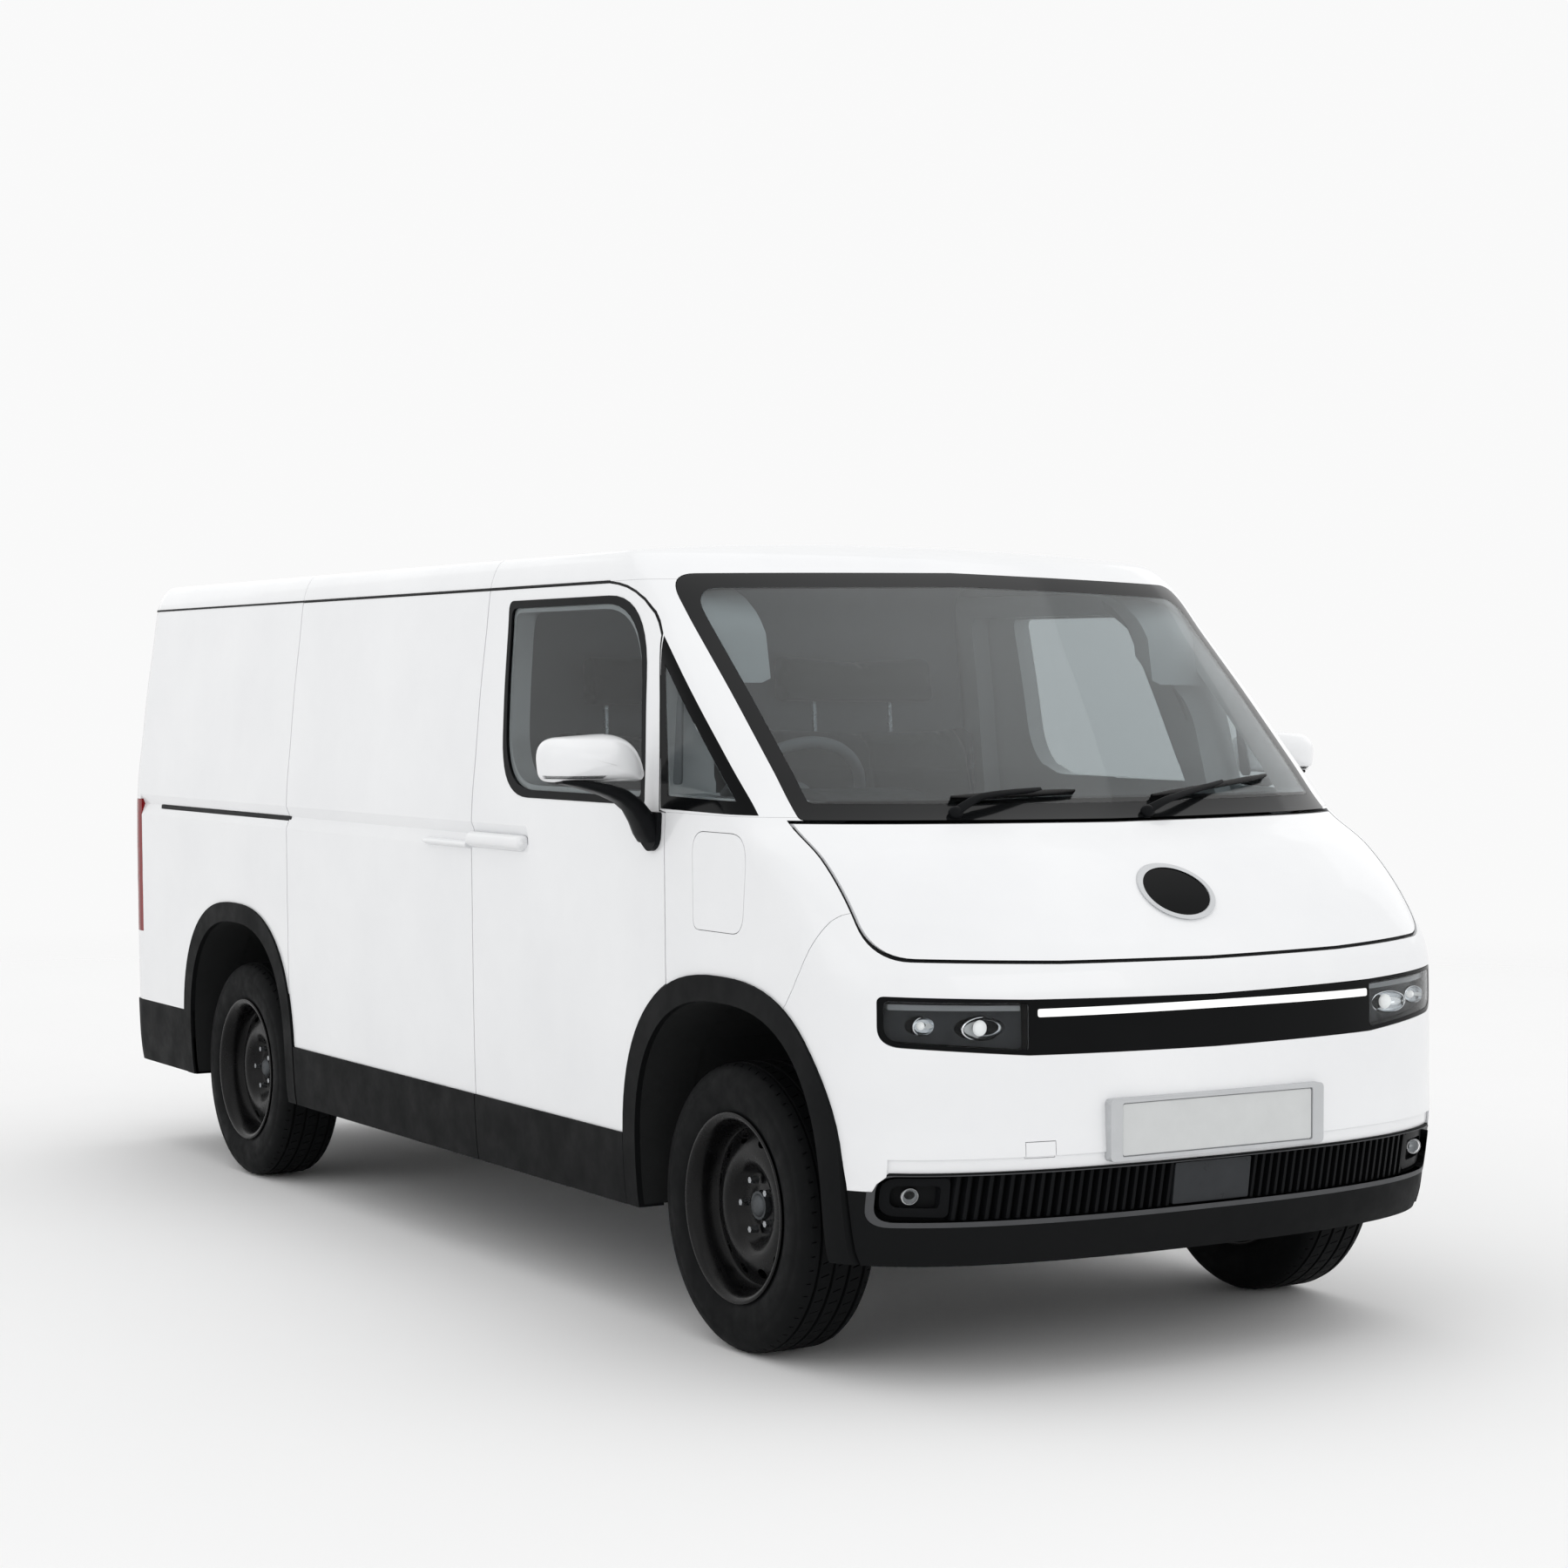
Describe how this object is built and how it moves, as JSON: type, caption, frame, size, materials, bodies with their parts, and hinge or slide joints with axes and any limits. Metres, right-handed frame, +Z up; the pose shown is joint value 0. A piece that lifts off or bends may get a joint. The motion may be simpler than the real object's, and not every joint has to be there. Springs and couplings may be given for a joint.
{
  "type": "electric panel van",
  "caption": "One-box electric panel van: short sloping bonnet, deep windscreen, blank load sides, hinged cab and rear doors, steered front wheels, open cab and load space.",
  "frame": {"origin": "on the ground under the middle of the overall box", "axes": "front faces -Y, +X is the vehicle's left side, +Z up"},
  "size_m": [2.2648, 4.56, 1.845],
  "materials": {
    "white_paint": "gloss",
    "black_plastic": "fine grain",
    "gloss_black": "gloss",
    "grey_trim": "fine grain",
    "seat_cloth": "woven",
    "glass": "clear, lightly tinted",
    "red_lens": "moulded lens",
    "amber_lens": "moulded lens",
    "clear_lens": "polycarbonate lens",
    "silver_trim": "satin silver",
    "reflector": "polished",
    "mirror_glass": "polished",
    "plate_white": "satin",
    "white_light": "diffuse light guide",
    "tyre_rubber": "matt",
    "seal_rubber": "matt",
    "black_steel": "satin",
    "bright_steel": "plated",
    "cast_metal": "as cast"
  },
  "bodies": {
    "van_body": {"roof_panel": "white_paint", "front_bumper": "white_paint", "lower_bumper": "black_plastic", "rear_bumper": "black_plastic", "lamp_bar": "gloss_black", "windscreen": "glass", "floor_pan": "black_steel", "bulkhead": "grey_trim", "dashboard": "grey_trim", "driver_seat": "seat_cloth", "passenger_bench": "seat_cloth", "battery_pack": "cast_metal", "front_subframe": "black_steel", "rear_axle": "black_steel", "body_side_right": "white_paint", "front_wing_right": "white_paint", "quarter_glass_right": "glass", "sliding_door_right": "white_paint", "tail_lamp_right": "red_lens", "wheel_house_front_right": "black_plastic", "wheel_house_rear_right": "black_plastic", "body_side_left": "white_paint", "front_wing_left": "white_paint", "quarter_glass_left": "glass", "sliding_door_left": "white_paint", "tail_lamp_left": "red_lens", "wheel_house_front_left": "black_plastic", "wheel_house_rear_left": "black_plastic"},
    "bonnet_lid": {"bonnet": "white_paint"},
    "flap": {"charge_flap": "white_paint"},
    "steering_wheel_body": {"steering_wheel": "grey_trim"},
    "cab_door_right": {"front_door_right": "white_paint", "door_glass_right": "glass", "mirror_right": "black_plastic"},
    "back_door_right": {"rear_door_right": "white_paint"},
    "steer_right": {"knuckle_right": "cast_metal"},
    "wheel_front_right": {"tyre_front_right": "tyre_rubber", "rim_front_right": "black_steel"},
    "wheel_rear_right": {"tyre_rear_right": "tyre_rubber", "rim_rear_right": "black_steel"},
    "cab_door_left": {"front_door_left": "white_paint", "door_glass_left": "glass", "mirror_left": "black_plastic"},
    "back_door_left": {"rear_door_left": "white_paint"},
    "steer_left": {"knuckle_left": "cast_metal"},
    "wheel_front_left": {"tyre_front_left": "tyre_rubber", "rim_front_left": "black_steel"},
    "wheel_rear_left": {"tyre_rear_left": "tyre_rubber", "rim_rear_left": "black_steel"}
  },
  "joints": [
    {"name": "bonnet_hinge", "type": "hinge", "parent": "van_body", "child": "bonnet_lid", "pos_m": [0, -1.905, 1.19], "axis": [-1, 0, 0], "range_deg": [0, 55]},
    {"name": "flap_hinge", "type": "hinge", "parent": "van_body", "child": "flap", "pos_m": [-0.848, -1.716, 1.05], "axis": [0, 0, 1], "range_deg": [0, 100]},
    {"name": "front_door_right_hinge", "type": "hinge", "parent": "van_body", "child": "cab_door_right", "pos_m": [-0.85, -1.352, 0.8], "axis": [0, 0, 1], "range_deg": [0, 65]},
    {"name": "rear_door_right_hinge", "type": "hinge", "parent": "van_body", "child": "back_door_right", "pos_m": [-0.739, 2.252, 1.1], "axis": [0, 0, 1], "range_deg": [0, 95]},
    {"name": "front_door_left_hinge", "type": "hinge", "parent": "van_body", "child": "cab_door_left", "pos_m": [0.85, -1.352, 0.8], "axis": [0, 0, -1], "range_deg": [0, 65]},
    {"name": "rear_door_left_hinge", "type": "hinge", "parent": "van_body", "child": "back_door_left", "pos_m": [0.739, 2.252, 1.1], "axis": [0, 0, -1], "range_deg": [0, 95]},
    {"name": "steer_left", "type": "hinge", "parent": "van_body", "child": "steer_left", "pos_m": [0.6, -1.58, 0.32222], "axis": [0, 0, 1], "range_deg": [-32, 32]},
    {"name": "steer_right", "type": "hinge", "parent": "van_body", "child": "steer_right", "pos_m": [-0.6, -1.58, 0.32222], "axis": [0, 0, 1], "range_deg": [-32, 32]},
    {"name": "steering_wheel_turn", "type": "hinge", "parent": "van_body", "child": "steering_wheel_body", "pos_m": [-0.4, -1.15, 1.189], "axis": [0, 0.8192, 0.5736], "range_deg": [-450, 450]},
    {"name": "front_wheel_right_spin", "type": "hinge", "parent": "steer_right", "child": "wheel_front_right", "pos_m": [-0.71, -1.58, 0.32222], "axis": [1, 0, 0], "continuous": true},
    {"name": "rear_wheel_right_spin", "type": "hinge", "parent": "van_body", "child": "wheel_rear_right", "pos_m": [-0.71, 1.35, 0.32222], "axis": [1, 0, 0], "continuous": true},
    {"name": "front_wheel_left_spin", "type": "hinge", "parent": "steer_left", "child": "wheel_front_left", "pos_m": [0.71, -1.58, 0.32222], "axis": [1, 0, 0], "continuous": true},
    {"name": "rear_wheel_left_spin", "type": "hinge", "parent": "van_body", "child": "wheel_rear_left", "pos_m": [0.71, 1.35, 0.32222], "axis": [1, 0, 0], "continuous": true}
  ],
  "couplings": [
    {"joint": "steer_right", "follows": "steer_left", "ratio": 1},
    {"joint": "steering_wheel_turn", "follows": "steer_left", "ratio": 14}
  ]
}
